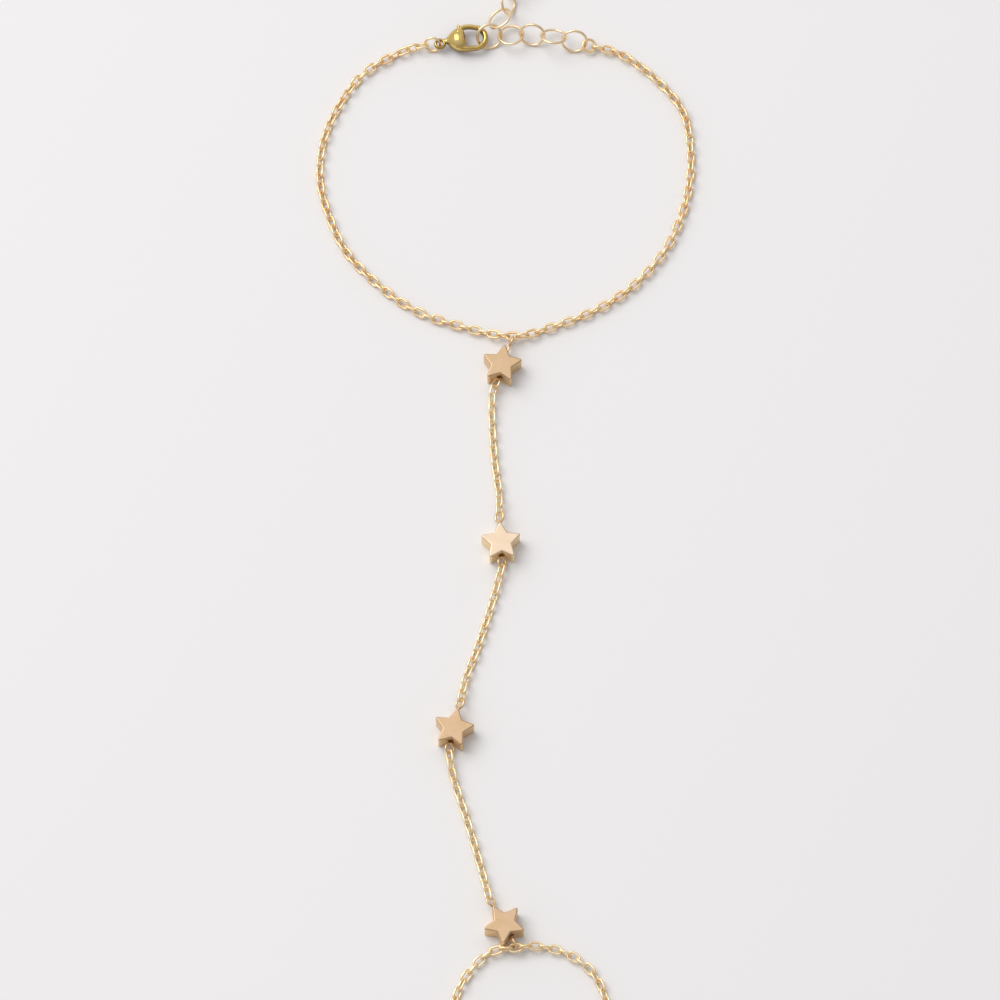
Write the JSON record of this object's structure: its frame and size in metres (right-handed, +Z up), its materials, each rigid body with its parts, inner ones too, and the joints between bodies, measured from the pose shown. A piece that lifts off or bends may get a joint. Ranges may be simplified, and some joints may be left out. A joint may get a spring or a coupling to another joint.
{
  "type": "hand chain bracelet",
  "caption": "Fine gold-tone hand chain: a wrist chain with lobster clasp and ring extender, joined by a strand of thick five-point star beads to a finger loop of the same chain.",
  "frame": {"origin": "middle of the wrist loop, on the surface that the bracelet lies on", "axes": "+Y from the finger loop to the wrist loop, along the strand; +Z up from the surface; +X across the wrist loop"},
  "size_m": [0.0594, 0.1915, 0.0038],
  "materials": {
    "chain_gold": "polished pale gold plating",
    "star_gold": "satin champagne gold plating",
    "clasp_gold": "polished deep yellow gold plating",
    "extender_gold": "polished pale pinkish gold plating"
  },
  "bodies": {
    "bracelet": {"wrist_chain": "chain_gold", "strand_chain_1": "chain_gold", "strand_chain_2": "chain_gold", "strand_chain_3": "chain_gold", "finger_chain": "chain_gold", "star_1": "star_gold", "star_2": "star_gold", "star_3": "star_gold", "star_4": "star_gold", "star_pin_1": "star_gold", "star_pin_2": "star_gold", "star_pin_3": "star_gold", "star_pin_4": "star_gold", "clasp_body": "clasp_gold", "clasp_ring": "clasp_gold", "connector_ring": "extender_gold", "extender_chain": "extender_gold"},
    "clasp_lever": {"clasp_lever": "clasp_gold"}
  },
  "joints": [
    {"name": "lever_hinge", "type": "hinge", "parent": "bracelet", "child": "clasp_lever", "pos_m": [-0.00734, 0.02565, 0.00145], "axis": [0, 0, -1], "range_deg": [0, 16], "stiffness_Nm_per_rad": 0.001, "springref_deg": -17.19}
  ]
}
